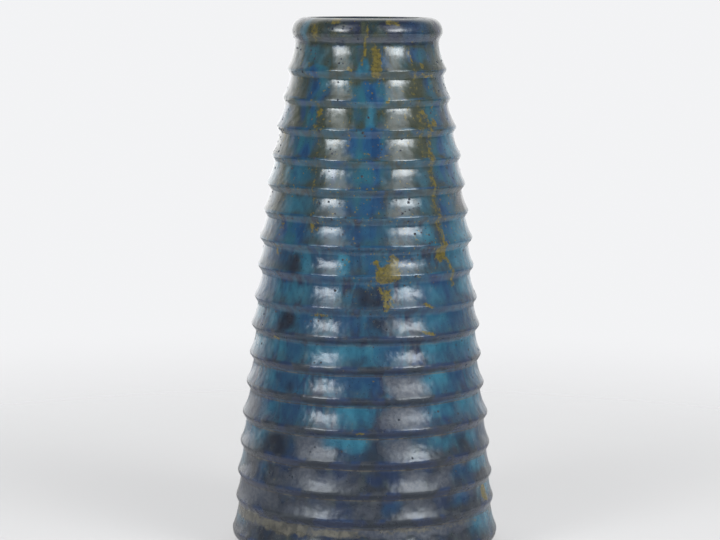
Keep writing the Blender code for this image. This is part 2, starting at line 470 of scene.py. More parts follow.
def scatter_tree():
    """Sets copies of a small shape on a surface, upright on it, where and as densely as it is pitted."""
    tree = bpy.data.node_groups.new("burst in the kiln", "GeometryNodeTree")
    given = group_inputs(tree, (
        ("Shape", "NodeSocketObject", None),
        ("Density", "NodeSocketFloat", 1.0),
        ("Smallest", "NodeSocketFloat", 1.0),
        ("Largest", "NodeSocketFloat", 1.0),
        ("Seed", "NodeSocketInt", 0),
        ("Material", "NodeSocketMaterial", None),
    ))
    share = add_node(tree, "GeometryNodeInputNamedAttribute", {"Name": "pitted"}, data_type="FLOAT")
    points = add_node(tree, "GeometryNodeDistributePointsOnFaces", {
        "Mesh": given["Geometry"], "Density": product(share.outputs[0], given["Density"]),
        "Seed": given["Seed"]})
    shape = add_node(tree, "GeometryNodeObjectInfo", {"Object": given["Shape"]})
    chance = add_node(tree, "FunctionNodeRandomValue", {2: 0.0, 3: 1.0, "Seed": given["Seed"]})
    often_small = calc("POWER", chance.outputs[1], 2.0)
    size = add_node(tree, "ShaderNodeMapRange", {
        "Value": often_small, "To Min": given["Smallest"], "To Max": given["Largest"]})
    placed = add_node(tree, "GeometryNodeInstanceOnPoints", {
        "Points": points.outputs["Points"], "Instance": shape.outputs["Geometry"],
        "Rotation": points.outputs["Rotation"], "Scale": size.outputs[0]})
    return finish_tree(tree, placed.outputs[0], given["Material"])


def give_tree(obj, tree, values):
    """Puts a tree on an object and sets its inputs by their sockets' identifiers."""
    modifier = obj.modifiers.new(tree.name, "NODES")
    modifier.node_group = tree
    sockets = {s.name: s.identifier for s in tree.interface.items_tree if s.in_out == "INPUT"}
    for name, value in values.items():
        modifier[sockets[name]] = value


def made_plain(source, name):
    """A new object that holds the evaluated mesh of another, with no modifier left. The other goes."""
    bpy.context.view_layer.update()
    seen = source.evaluated_get(bpy.context.evaluated_depsgraph_get())
    mesh = bpy.data.meshes.new_from_object(seen)
    mesh.name = name
    bpy.data.objects.remove(source)
    return new_object(name, mesh)


def new_object(name, data):
    obj = bpy.data.objects.new(name, data)
    bpy.context.scene.collection.objects.link(obj)
    return obj


def store(mesh, name, values):
    """Stores a number at each of a mesh's points."""
    mesh.attributes.new(name, "FLOAT", "POINT").data.foreach_set("value", values)


def vectors(mesh, name):
    """A vector of each of a mesh's points: where it is (co) or which way it faces (normal)."""
    values = np.empty(len(mesh.vertices) * 3)
    mesh.vertices.foreach_get(name, values)
    return values.reshape(-1, 3)


def turn(name, outline, material, sides, sharp=SHARP_EDGE):
    """A piece turned from a closed outline of (radius, height) or (radius, height, rib) points."""
    mesh = bpy.data.meshes.new(name + "_outline")
    closed = list(outline)
    if outline[0][0] > 0:
        closed.append(outline[0])
    mesh.from_pydata([(p[0], 0, p[1]) for p in closed], [], [])
    store(mesh, "station", [p[2] if len(p) > 2 else 0.0 for p in closed])
    source = new_object(name + "_outline", mesh)
    give_tree(source, WHEEL, {"Sides": sides, "Wobble": WOBBLE, "Material": material})
    obj = made_plain(source, name)
    close_and_face_out(obj.data)
    obj.data.shade_smooth()
    obj.data.set_sharp_from_angle(angle=math.radians(sharp))
    return obj


def close_and_face_out(mesh):
    bm = bmesh.new()
    bm.from_mesh(mesh)
    bmesh.ops.remove_doubles(bm, verts=bm.verts, dist=1e-6)
    bmesh.ops.recalc_face_normals(bm, faces=bm.faces)
    bm.to_mesh(mesh)
    bm.free()


WHEEL = wheel_tree()
SCATTER = scatter_tree()


# ---- where the glaze's colours lie

# Runs and patches that break over the ribs: (azimuth, height, half width in degrees, half height in mm,
# strength). They fade outwards from their middles.
GLAZE_MARKS = {
    "turquoise": (
        (-56, 311, 5, 7, 0.6), (-45, 298, 16, 6, 0.5), (-2, 291, 3, 5, 0.8), (3, 264, 4, 7, 0.7),
        (-48, 229, 12, 6, 0.6), (35, 229, 6, 6, 0.5), (-45, 211, 13, 6, 0.6), (35, 211, 6, 6, 0.5),
        (34, 195, 7, 6, 0.6), (-33, 178, 4, 7, 0.6), (-11, 178, 4, 7, 0.9), (-45, 159, 16, 7, 0.6),
        (38, 159, 8, 7, 0.6), (-56, 142, 5, 6, 0.7), (38, 142, 8, 6, 0.6), (-52, 125, 8, 6, 0.7),
        (-12, 125, 22, 7, 0.8), (37, 125, 8, 6, 0.9), (65, 125, 6, 7, 0.7), (-55, 107, 6, 6, 0.7),
        (37, 107, 8, 6, 0.9), (-55, 89, 6, 6, 0.7), (-6, 89, 9, 7, 1.1), (37, 92, 8, 5, 0.7),
        (-62, 70, 9, 7, 0.7), (-10, 75, 10, 5, 1.0), (39, 73, 12, 5, 0.6), (61, 70, 5, 7, 0.7),
    ),
    "cobalt": (
        (44, 312, 16, 8, 0.5), (-40, 289, 11, 3, 0.9), (42, 298, 13, 4, 0.7), (-37, 279, 9, 7, 0.8),
        (2, 276, 11, 7, 1.0), (49, 279, 7, 7, 0.7), (-41, 263, 5, 7, 0.8), (0, 256, 10, 3, 0.9),
        (52, 263, 9, 7, 0.7), (-44, 246, 9, 7, 0.9), (0, 247, 13, 8, 1.1), (54, 246, 9, 7, 0.8),
        (0, 229, 12, 7, 0.7), (53, 229, 8, 7, 0.8), (-2, 212, 13, 7, 0.7), (53, 211, 8, 7, 0.8),
        (-47, 195, 13, 7, 0.8), (-2, 195, 12, 7, 0.6), (54, 195, 7, 7, 0.8), (3, 178, 4, 7, 0.6),
        (50, 159, 6, 8, 1.0), (-31, 142, 5, 7, 0.8), (-7, 142, 6, 7, 0.8), (52, 142, 7, 7, 1.0),
        (-38, 125, 5, 7, 0.8), (14, 125, 4, 7, 0.8), (52, 125, 7, 7, 0.9), (-42, 107, 8, 7, 0.7),
        (0, 107, 7, 7, 1.0), (-11, 107, 5, 7, 0.8), (52, 107, 7, 7, 0.9), (-38, 89, 9, 7, 0.6),
        (-6, 66, 6, 5, 0.8), (-55, 51, 6, 7, 0.7), (51, 51, 9, 7, 0.8), (47, 38, 6, 4, 0.8),
        (12, 36, 4, 4, 0.7),
    ),
    "ochre": (
        (-44, 312, 5, 5, 0.42), (-27, 319, 4, 2, 0.6), (20, 318, 5, 1.5, 0.65), (7, 296, 3.4, 7, 0.85),
        (5.5, 290, 2.6, 3.5, 1.0), (-13, 288, 2, 1, 0.7), (35, 295, 1.2, 1, 0.8), (44, 292, 1.5, 1.5, 0.9),
        (46, 287, 11, 0.8, 0.55), (-33, 264, 2, 2, 0.8), (14, 273, 1, 2, 0.7), (26, 262, 1, 3, 0.75),
        (41, 265, 1.5, 2, 0.6), (49, 257, 2, 2, 0.9), (-33, 256, 2, 1, 0.6), (14, 256, 1, 1, 0.7),
        (-55, 198, 1.5, 3, 0.6), (-31, 198, 1.5, 3, 0.55), (-57, 184, 1.5, 4, 0.5), (11.5, 172, 5, 4.5, 1.1),
        (6, 180, 1.5, 2, 0.8), (15, 178, 2, 5, 0.6), (44.5, 184, 3.2, 4.5, 1.0), (11, 159, 3, 6.5, 0.62),
        (33, 154, 3, 1, 0.7), (33, 137, 3, 1, 0.75), (-24, 147, 5, 1, 0.5), (4, 112, 2, 0.6, 0.6),
        (-2, 80, 2, 0.8, 0.8), (-52, 132, 2, 1, 0.6),
    ),
    "olive": (
        (-46, 311, 8, 8, 0.6), (-35, 297, 6, 7, 0.6), (36, 280, 9, 8, 0.9), (-60, 280, 7, 8, 0.6),
        (34, 263, 9, 7, 0.8), (-20, 263, 9, 7, 0.6), (-58, 263, 8, 7, 0.8), (34, 247, 7, 7, 0.7),
        (-24, 247, 6, 7, 0.4), (-60, 229, 6, 7, 0.7), (-62, 211, 5, 7, 0.6), (-32, 200, 3, 5, 0.5),
        (20, 248, 5, 7, 0.4), (-2, 299, 8, 7, 0.6),
    ),
    "umber": (
        (-43, 176, 7, 7, 0.75), (3, 158, 9, 7, 0.6), (33, 178, 2.5, 4, 0.4), (-45, 142, 6, 6, 0.6),
        (7, 142, 7, 6, 0.45), (-40, 107, 4, 6, 0.5), (-45, 70, 10, 8, 0.6), (4, 70, 5, 8, 0.4),
        (53, 66, 6, 6, 0.6), (-20, 92, 3, 8, 0.3), (22, 228, 3, 6, 0.3),
    ),
    "silver": (
        (13, 142, 5, 6, 0.6), (19, 107, 10, 7, 1.0), (18, 89, 10, 7, 1.0), (56, 89, 7, 7, 0.5),
        (-25, 70, 11, 8, 0.9), (14, 70, 7, 8, 0.7), (-24, 51, 22, 7, 0.7), (22, 51, 8, 7, 1.0),
        (37, 51, 6, 7, 0.7), (-20, 33, 25, 6, 0.6), (30, 33, 12, 6, 0.5), (0, 22, 70, 3, 0.9),
    ),
}
# The glaze's lowest edge, thin over the clay
BUFF_MARKS = (
    (-66, 22, 12, 3.5, 0.9), (-38, 21, 14, 3.2, 1.0), (-14, 21, 10, 2.2, 0.8), (20, 22.5, 14, 1.2, 0.6),
    (50, 22.5, 14, 1.0, 0.5), (95, 22, 20, 3.0, 0.8), (150, 21, 25, 2.0, 0.7), (-150, 22, 20, 3.0, 0.9),
    (-100, 22, 20, 2.5, 0.8),
)
# Drips of ochre that cross several ribs: (half width in degrees, strength, azimuth and height down its path)
OCHRE_RUNS = (
    (2.6, 0.46, ((43, 263), (45, 252), (42.5, 241), (42, 229), (43.5, 211), (45.5, 195), (44.5, 184))),
    (1.8, 0.44, ((45, 184), (50, 178), (52, 172), (53, 164))),
    (1.8, 0.36, ((33, 304), (36, 290), (38, 270), (37, 255), (36, 238))),
    (0.8, 0.78, ((0, 317), (-0.5, 308), (-1.5, 300), (-4, 294))),
    (1.2, 0.34, ((-12, 282), (-11, 270), (-12, 250), (-12, 236))),
    (1.4, 0.32, ((-34, 270), (-33, 255), (-32, 230), (-31, 198))),
    (1.0, 0.60, ((128, 300), (131, 268), (127, 240), (130, 214), (133, 190))),
    (1.2, 0.65, ((-150, 296), (-147, 262), (-149, 235), (-146, 200), (-148, 176))),
    (0.8, 0.55, ((-104, 262), (-102, 240), (-104, 214), (-103, 190))),
    (0.9, 0.55, ((172, 250), (174, 226), (172, 205), (176, 182))),
)
# Ochre wavers less than the other colours
OCHRE_STEADINESS = 0.35
# Olive lies beside each drip, so many times as wide
OLIVE_BESIDE_OCHRE = 2.4
# Marks are scattered as well, past this many degrees from the front
MARKED_SIDE = 62
BACK_MARKS = 190
BACK_SEED = 11
# The marks' edges waver, by a sum of sine waves
WAVER_SEED = 4
WAVES = 28


def back_marks():
    """Runs and patches for the sides and the back, scattered under a fixed seed in the front's manner."""
    random = np.random.default_rng(BACK_SEED)
    marks = {tint: [] for tint in GLAZE_MARKS}
    shares = {"turquoise": 0.26, "cobalt": 0.3, "ochre": 0.12, "umber": 0.1, "silver": 0.12, "olive": 0.1}
    for _ in range(BACK_MARKS):
        tint = random.choice(list(shares), p=list(shares.values()))
        azimuth = random.uniform(MARKED_SIDE, 360 - MARKED_SIDE)
        i = random.integers(0, len(CRESTS) - 1)
        height = (CRESTS[i][1] + CRESTS[i + 1][1]) / 2 / MM
        if tint == "silver" and height > 150:
            tint = "cobalt"
        if tint == "olive" and height < 190:
            tint = "turquoise"
        stray, half_widths, half_heights = (5, (1, 4), (1, 5)) if tint == "ochre" else (2, (5, 18), (5, 9))
        marks[tint].append((azimuth, height + random.uniform(-stray, stray), random.uniform(*half_widths),
                            random.uniform(*half_heights), random.uniform(0.5, 1.0)))
    return marks


def wavering(random, azimuth, height, rounds, waves_up):
    """A smooth noise that closes on itself round the vase: sine waves with up to so many rounds, and up to
    so many radians to the millimetre upwards."""
    waves = np.zeros_like(azimuth)
    for _ in range(WAVES):
        turns = random.integers(-rounds, rounds + 1)
        rise = random.uniform(-waves_up, waves_up)
        shift = random.uniform(0, math.tau)
        waves += np.sin(np.radians(azimuth) * turns + height * rise + shift)
    return waves / math.sqrt(WAVES)


def mark_strength(azimuth, height, marks):
    """How strongly marks cover each point, from its azimuth in degrees and its height in mm."""
    cover = np.zeros_like(azimuth)
    for middle, high, half_width, half_height, strength in marks:
        across = (azimuth - middle + 180) % 360 - 180
        far = (np.abs(across) / half_width) ** 3 + (np.abs(height - high) / half_height) ** 5
        cover = np.maximum(cover, strength * np.exp(-0.7 * far))
    return cover


def run_strength(azimuth, height, runs):
    """How strongly drips cover each point."""
    cover = np.zeros_like(azimuth)
    for half_width, strength, path in runs:
        heights = [high for _, high in path][::-1]
        middles = [middle for middle, _ in path][::-1]
        across = (azimuth - np.interp(height, heights, middles) + 180) % 360 - 180
        past_end = np.maximum(np.maximum(heights[0] - height, height - heights[-1]), 0)
        far = (np.abs(across) / half_width) ** 2 + (past_end / 2) ** 2
        cover = np.maximum(cover, strength * np.exp(-0.7 * far))
    return cover


def lay_glaze(coat):
    """Stores on the coat how much of each colour lies at each point, and where pinholes may be."""
    mesh = coat.data
    place = vectors(mesh, "co")
    facing = vectors(mesh, "normal")
    azimuth = np.degrees(np.arctan2(place[:, 0], -place[:, 1]))
    height = place[:, 2] / MM
    random = np.random.default_rng(WAVER_SEED)

    def waver(rounds, waves_up):
        return wavering(random, azimuth, height, rounds, waves_up)

    behind = back_marks()
    for tint, marks in GLAZE_MARKS.items():
        sideways = azimuth + 1.6 * waver(16, 0.25)
        sideways += 0.5 * waver(50, 0.8)
        upwards = height + 1.4 * waver(36, 0.25)
        if tint == "ochre":
            sideways = azimuth + OCHRE_STEADINESS * (sideways - azimuth)
        cover = mark_strength(sideways, upwards, [*marks, *behind[tint]])
        if tint == "ochre":
            cover = np.maximum(cover, run_strength(sideways, height, OCHRE_RUNS))
        if tint == "olive":
            cover = np.maximum(cover, run_strength(sideways, height, [
                (OLIVE_BESIDE_OCHRE * width, strength, path) for width, strength, path in OCHRE_RUNS]))
        store(mesh, tint, cover)
    sideways = azimuth + 2.5 * waver(40, 0.3)
    upwards = height + 0.8 * waver(60, 0.3)
    store(mesh, "buff", mark_strength(sideways, upwards, BUFF_MARKS))
    radius = np.hypot(place[:, 0], place[:, 1])
    outward = (facing[:, :2] * place[:, :2]).sum(1) / radius
    clusters = np.clip(waver(16, 0.16) - 0.2, 0, 1) ** 1.5
    pitted = (SCATTERED + clusters) * np.clip(height / THICK_ABOVE, FEWEST, 1) * (outward > FACES_OUT)
    pitted *= (place[:, 2] > UNPITTED_BELOW) * (place[:, 2] < UNPITTED_ABOVE) * (radius < UNPITTED_BEYOND)
    store(mesh, "pitted", pitted)


# ---- materials

def colour(hex_code):
    """A colour from its screen hex code, as linear RGBA."""
    values = [int(hex_code[i:i + 2], 16) / 255 for i in (0, 2, 4)]
    return (*[v / 12.92 if v <= 0.04045 else ((v + 0.055) / 1.055) ** 2.4 for v in values], 1.0)


def new_material(name):
    material = bpy.data.materials.new(name)
    material.use_nodes = True
    tree = material.node_tree
    return material, tree, tree.nodes["Principled BSDF"]


def blended(factor, first, second):
    """A colour mixed from two, each a colour or a socket."""
    return add_node(tree_of(factor, first, second), "ShaderNodeMix", {
        0: factor, 6: first, 7: second}, data_type="RGBA").outputs[2]


def attribute(tree, name):
    return add_node(tree, "ShaderNodeAttribute", attribute_name=name).outputs["Fac"]


def speckle(vector, scale, detail, roughness):
    return add_node(tree_of(vector), "ShaderNodeTexNoise", {
        "Vector": vector, "Scale": scale, "Detail": detail, "Roughness": roughness}).outputs["Fac"]


def stretched(tree, upright):
    """Object coordinates with heights shrunk, so that a pattern on them runs down the vase."""
    place = tree.nodes.new("ShaderNodeTexCoord").outputs["Object"]
    return add_node(tree, "ShaderNodeMapping", {"Vector": place, "Scale": (1, 1, upright)}).outputs[0]


def bumped(height, strength, distance, **over):
    """Normals tilted by a height. The distance is in millimetres."""
    return add_node(tree_of(height), "ShaderNodeBump", {
        "Height": height, "Strength": strength, "Distance": distance * MM, **over}).outputs[0]


def ramped(value, stops):
    """A colour from a ramp of (place, hex code) stops."""
    made = add_node(tree_of(value), "ShaderNodeValToRGB", {"Fac": value})
    ramp = made.color_ramp
    while len(ramp.elements) < len(stops):
        ramp.elements.new(1.0)
    for element, (place, code) in zip(ramp.elements, stops):
        element.position = place
        element.color = colour(code)
    return made.outputs["Color"]


def varied(noise, first, second, low=0.38, high=0.62):
    """A colour that a noise varies between two hex codes."""
    return blended(eased(noise, low, high), colour(first), colour(second))


def cover(noise, name, low, high, rough):
    """How fully a colour of GLAZE_MARKS or the buff edge covers, its own edge broken up by a noise."""
    broken = product(calc("SUBTRACT", noise, 0.5), rough)
    return eased(total(attribute(tree_of(noise), name), broken), low, high)


def glaze_noises(tree):
    """The places and noises that the glaze's colours share. A rib's phase is 0 at its crest."""
    plain = stretched(tree, 1.0)
    rib = attribute(tree, "station")
    streaks = speckle(stretched(tree, 0.6), 170, 4.0, 0.55)
    mottle = speckle(plain, 190, 5.0, 0.62)
    gritty = speckle(plain, 560, 2.0, 0.6)
    ragged = total(product(streaks, 0.6), product(mottle, 0.4))
    return SimpleNamespace(
        plain=plain, rib=rib, streaks=streaks, mottle=mottle, gritty=gritty, ragged=ragged,
        runny=stretched(tree, 0.2),
        number=calc("FLOOR", rib),
        phase=calc("FRACT", total(rib, 2.0)),
        clouds=speckle(plain, 28, 3.0, 0.5),
        blotches=speckle(plain, 75, 3.0, 0.45),
        grain=total(product(ragged, 0.45), product(gritty, 0.55)),
        below_roll=eased(rib, -1.05, -0.9),
        low_down=eased(rib, 6.5, 9.5))


def own_to_rib(on, scale, apart):
    """A cloudy noise in upright bands that starts afresh on each rib."""
    tree = tree_of(on.runny)
    flat = add_node(tree, "ShaderNodeSeparateXYZ", {0: on.runny})
    joined = add_node(tree, "ShaderNodeCombineXYZ", {
        "X": flat.outputs["X"], "Y": flat.outputs["Y"],
        "Z": total(flat.outputs["Z"], product(on.number, apart))})
    return speckle(joined.outputs[0], scale, 4.0, 0.55)


def ground_colour(on):
    """Bands that differ from rib to rib: olive and teal high up, blues, then navy and slate low down. Under
    the roll, a painted reflection of the pale table.
    """
    bands = own_to_rib(on, 62, 0.043)
    upper = ramped(bands, (
        (0.34, "28466A"), (0.42, "2C4E58"), (0.49, "39423A"), (0.54, "3A4A4C"), (0.61, "3C4034"),
        (0.68, "2A4A66")))
    middle = ramped(bands, (
        (0.32, "213A62"), (0.41, "2A5470"), (0.48, "27405C"), (0.54, "2E5A72"), (0.62, "2A3044"),
        (0.70, "24406A")))
    lower = ramped(bands, (
        (0.32, "22304C"), (0.42, "2A2E3A"), (0.49, "363B46"), (0.54, "2A3446"), (0.62, "40444C"),
        (0.70, "28344E")))
    blotchy = ramped(on.blotches, (
        (0.36, "223454"), (0.43, "29364A"), (0.50, "2B3039"), (0.56, "3A3E46"), (0.64, "464A50")))
    roll = ramped(speckle(on.plain, 90, 3.0, 0.5), (
        (0.38, "242C42"), (0.48, "282E34"), (0.55, "2C3C40"), (0.64, "3A3F34")))
    base = blended(eased(on.rib, 2.0, 7.0), upper, middle)
    base = blended(eased(on.rib, 11.0, 13.5), base, blended(0.6, lower, blotchy))
    base = blended(on.below_roll, roll, base)
    pale = product(eased(on.streaks, 0.5, 0.72), 0.45)
    base = blended(pale, base, colour("465250"))
    # Painted reflection: the underside of the roll is paled towards grey-violet, as if it mirrored the pale
    # table.
    painted_table_reflection = product(eased(on.rib, -1.26, -1.16), eased(on.rib, -1.0, -1.08, 0.0, 0.5))
    return blended(painted_table_reflection, base, colour("505563"))


def with_dull_patches(on, base, silver):
    """An olive film above each crest, and patches of silver grey, olive and umber."""
    film = product(eased(on.phase, 0.55, 0.88), eased(on.phase, 0.98, 0.92),
                   on.below_roll, eased(on.rib, 11.0, 4.0, 0.1, 0.6))
    base = blended(film, base, colour("3A3F34"))
    base = blended(silver, base, varied(on.grain, "3C4250", "545962"))
    olive = cover(on.ragged, "olive", 0.1, 0.8, 0.4)
    base = blended(olive, base, varied(on.streaks, "3A4034", "454C3E", 0.3, 0.7))
    umber = cover(on.blotches, "umber", 0.15, 0.75, 1.2)
    return blended(umber, base, varied(on.streaks, "222835", "2E323C", 0.3, 0.7))


def with_pools_and_painted_shade(on, base):
    """Cobalt pooled under the crests, in patches on the upper ribs. On the lower ribs, dark slate along and
    under every crest: partly pooled glaze and partly painted shade of the undercut.
    """
    under_crest_pool_and_shade = product(eased(on.phase, 0.32, 0.12), eased(on.rib, 8.0, 10.0, 0.6, 0.9))
    edge = product(eased(on.phase, 0.90, 0.97), 0.8)
    patchy = eased(own_to_rib(on, 70, 0.031), 0.46, 0.58, 0.0, 0.9)
    pooled_and_shaded = product(calc("MAXIMUM", under_crest_pool_and_shade, edge), on.below_roll, calc("MAXIMUM", patchy, on.low_down))
    upper = varied(on.clouds, "1C4068", "205670", 0.42, 0.58)
    # Dark slate for the lower ribs: partly pooled glaze, partly painted shade under the crests.
    lower = varied(on.blotches, "283048", "262C36", 0.45, 0.55)
    return blended(pooled_and_shaded, base, blended(on.low_down, upper, lower))


def with_bright_runs(on, base):
    """Cobalt and turquoise runs. On the lower ribs they are strongest just below the groove."""
    flowed = product(eased(on.phase, 0.95, 0.36, 0.25), eased(on.phase, 0.2, 0.27, 0.2))
    held = product(on.low_down, calc("SUBTRACT", 1.0, flowed))
    settled = calc("SUBTRACT", 1.0, held)
    upper_cobalt = ramped(speckle(stretched(tree_of(base), 0.3), 120, 3.0, 0.5), (
        (0.36, "1E4066"), (0.45, "255076"), (0.54, "2A576C"), (0.64, "2C6274")))
    lower_cobalt = varied(on.streaks, "224062", "2C506C", 0.3, 0.7)
    cobalt = blended(eased(on.rib, 6.0, 8.5), upper_cobalt, lower_cobalt)
    turquoise = varied(on.streaks, "285A72", "37758C", 0.3, 0.7)
    for name, tone in (("cobalt", cobalt), ("turquoise", turquoise)):
        base = blended(product(cover(on.ragged, name, 0.1, 0.9, 0.5), settled), base, tone)
    return base


def with_crest_lips(on, base):
    """Navy and grey lips along the lower crests."""
    lip = calc("MAXIMUM", eased(on.phase, 0.88, 0.97), eased(on.phase, 0.08, 0.0))
    lip = product(lip, on.low_down, eased(on.mottle, 0.4, 0.6, 0.2, 0.8))
    return blended(lip, base, varied(on.blotches, "2A3E5E", "43484F", 0.42, 0.5))


def with_ochre_and_thin_edges(on, base):
    """Ochre marks, a thin line in the lower grooves (partly bare brown clay, partly a painted highlight), and
    the buff edge above the foot.
    """
    ochre = cover(on.grain, "ochre", 0.22, 0.58, 1.9)
    base = blended(ochre, base, varied(on.gritty, "545030", "6E6432", 0.35, 0.65))
    # The groove line: its dark brown is bare clay at the crease, and its lighter grey-brown is a painted
    # highlight in the groove.
    from_line = calc("ABSOLUTE", calc("SUBTRACT", on.phase, 0.265))
    clay_hairline_and_painted_glint = product(eased(from_line, 0.03, 0.0), eased(on.rib, 8.0, 11.0, 0.0, 0.8))
    base = blended(clay_hairline_and_painted_glint, base, varied(on.streaks, "2E2A26", "5E574C", 0.45, 0.6))
    buff = cover(on.grain, "buff", 0.2, 0.7, 2.0)
    return blended(buff, base, varied(on.mottle, "4E4E4A", "69675E", 0.4, 0.6))


def with_specks(on, base):
    """Ochre sparks on the upper half, and dark flecks all over."""
    sparks = product(eased(speckle(on.plain, 480, 2.0, 0.5), 0.65, 0.69, 0.0, 0.85),
                     eased(on.rib, 9.0, 6.0), eased(on.clouds, 0.46, 0.56))
    base = blended(sparks, base, colour("6E6432"))
    flecks = eased(speckle(on.plain, 1100, 2.0, 0.5), 0.66, 0.72, 0.0, 0.8)
    return blended(flecks, base, colour("14171C"))


def glaze_material():
    """Running lustre glaze, glassy towards the mouth and satin towards the foot."""
    material, tree, shader = new_material("blue_lustre_glaze")
    on = glaze_noises(tree)
    silver = cover(on.blotches, "silver", 0.1, 0.95, 1.3)
    base = with_dull_patches(on, ground_colour(on), silver)
    for layer in (with_pools_and_painted_shade, with_bright_runs, with_crest_lips, with_ochre_and_thin_edges, with_specks):
        base = layer(on, base)
    rough = total(eased(on.rib, 2.0, 17.0, 0.13, 0.19), product(on.mottle, 0.14), product(silver, 0.13),
                  eased(on.rib, -1.0, -1.2, 0.0, 0.08), eased(on.rib, -1.5, -1.65, 0.0, 0.2))
    grain = bumped(speckle(on.plain, 800, 3.0, 0.6), 0.5, 0.04)
    waves = bumped(speckle(on.plain, 150, 1.5, 0.5), 0.9, 0.6, Normal=grain)
    glassy = product(eased(on.rib, 9.0, 3.0, 0.1, 0.6), eased(on.mottle, 0.35, 0.6, 0.4, 1.0))
    set_inputs(shader, {
        "Base Color": base, "Roughness": rough, "Normal": waves, "Coat Weight": glassy,
        "Coat Roughness": 0.12, "Coat IOR": 1.5, "IOR": 1.48, "Specular Tint": (0.87, 0.95, 1.0, 1.0)})
    return material


def pit_material():
    """A pinhole burst through the glaze: nearly black inside, with a glossy blue-grey lip."""
    material, tree, shader = new_material("pinhole")
    out = attribute(tree, "station")
    set_inputs(shader, {
        "Base Color": varied(out, "07080B", "35465A", 0.5, 0.8),
        "Roughness": eased(out, 0.3, 0.8, 0.8, 0.18), "IOR": 1.6})
    return material


def clay_material():
    """Bare brown stoneware: matt, with fine grit and darker iron specks."""
    material, tree, shader = new_material("bare_stoneware")
    plain = stretched(tree, 1.0)
    grit = speckle(plain, 900, 3.0, 0.6)
    tone = speckle(plain, 60, 3.0, 0.5)
    base = varied(tone, "6B5240", "8A6B50", 0.3, 0.7)
    base = blended(eased(grit, 0.6, 0.72), base, colour("3A2A20"))
    rough = eased(grit, 0.2, 0.8, 0.75, 0.95)
    set_inputs(shader, {"Base Color": base, "Roughness": rough, "Normal": bumped(grit, 0.5, 0.3)})
    return material


def liner_material():
    """Dark satin liner glaze with soft mottling."""
    material, tree, shader = new_material("dark_liner_glaze")
    mottle = speckle(stretched(tree, 1.0), 90, 4.0, 0.6)
    base = varied(mottle, "23282B", "384043", 0.35, 0.65)
    rough = eased(mottle, 0.3, 0.7, 0.25, 0.4)
    set_inputs(shader, {"Base Color": base, "Roughness": rough, "Normal": bumped(mottle, 0.2, 0.5)})
    return material


GLAZE_FINISH = glaze_material()
CLAY_FINISH = clay_material()
LINER_FINISH = liner_material()
PIT_FINISH = pit_material()


# ---- pieces

def finish_piece(obj, slot, *nodes):
    """Puts a piece on its body and hides the CAD's nodes that it replaces. The slot is not used."""
    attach(obj, BODY)
    if nodes:
        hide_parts(*nodes)


def plain_outline():
    """Outside of the vase with the few rings that the hidden faces need."""
    return outline_with_ribs(CLAY_ROLL_STEPS, CLAY_NECK_STEPS, CLAY_PHASES)


def make_glaze_coat():
    outside = outline_with_ribs(ROLL_STEPS, NECK_STEPS)
    back = inset(plain_outline(), GLAZE)
    coat = turn("glaze_coat", outside + back[::-1], GLAZE_FINISH, GLAZE_SIDES, SHARP_GLAZE_EDGE)
    lay_glaze(coat)
    finish_piece(coat, "outside_glaze", "outer_glaze")
    return coat


def clay_piece(name, outline, node):
    finish_piece(turn(name, outline, CLAY_FINISH, CLAY_SIDES), "bare_clay", node)


def make_clay_roll():
    outside = inset(roll_points(CLAY_ROLL_STEPS), GLAZE + CLEARANCE)[1:]
    outside = [p for p in outside if p[1] > NECK_HEIGHT + CLAY_ROLL_EDGE]
    bottom = [(NECK_RADIUS - GLAZE - CLEARANCE, NECK_HEIGHT), (CLAY_BORE, NECK_HEIGHT)]
    clay_piece("clay_roll", outside + bottom, "rim_roll")


def make_clay_wall():
    glazed = [p for p in plain_outline() if p[2] >= -1]
    outside = inset(glazed, GLAZE + CLEARANCE)
    top = NECK_HEIGHT - CLEARANCE
    outside = [(p[0], min(p[1], top)) for p in outside]
    inside = inside_points(WALL_FOOT, top, PLAIN_STEPS)
    outline = [*outside, (outside[-1][0] - CLEARANCE, WALL_FOOT), *inside]
    clay_piece("clay_wall", outline, "stoneware_wall")


def make_liner_coat():
    """Glaze inside the wall and on the slab, with the ridges that a thrower's fingers leave."""
    outer = [(0, LINER_FLOOR), *inside_points(LINER_FLOOR, LINER_TOP, PLAIN_STEPS, CLEARANCE)]
    inner = inside_points(LINER_FLOOR + LINER, LINER_TOP, RIDGED_STEPS, CLEARANCE + LINER, RIDGE)[::-1]
    liner = turn("liner_coat", [*outer, *inner, (0, LINER_FLOOR + LINER)], LINER_FINISH, CLAY_SIDES)
    finish_piece(liner, "inside_glaze", "inner_glaze")


def make_clay_foot():
    wide, bent = FOOT_CHAMFER, 0.3 * FOOT_CHAMFER
    outline = [
        (FOOT_BORE, FOOT_HEIGHT), (FOOT_RADIUS, FOOT_HEIGHT),
        (FOOT_RADIUS, wide), (FOOT_RADIUS - bent, bent), (FOOT_RADIUS - wide, 0),
        (FOOT_BORE + wide, 0), (FOOT_BORE + bent, bent), (FOOT_BORE, wide),
    ]
    clay_piece("clay_foot", outline, "foot_ring")


def make_clay_slab():
    plug = FOOT_BORE - CLEARANCE
    flange = FOOT_HEIGHT + CLEARANCE
    outline = [
        (0, SLAB_TOP), (SLAB_RADIUS, SLAB_TOP), (SLAB_RADIUS, flange), (plug, flange),
        (plug, SLAB_UNDERSIDE), (0, SLAB_UNDERSIDE),
    ]
    clay_piece("clay_slab", outline, "base_slab")


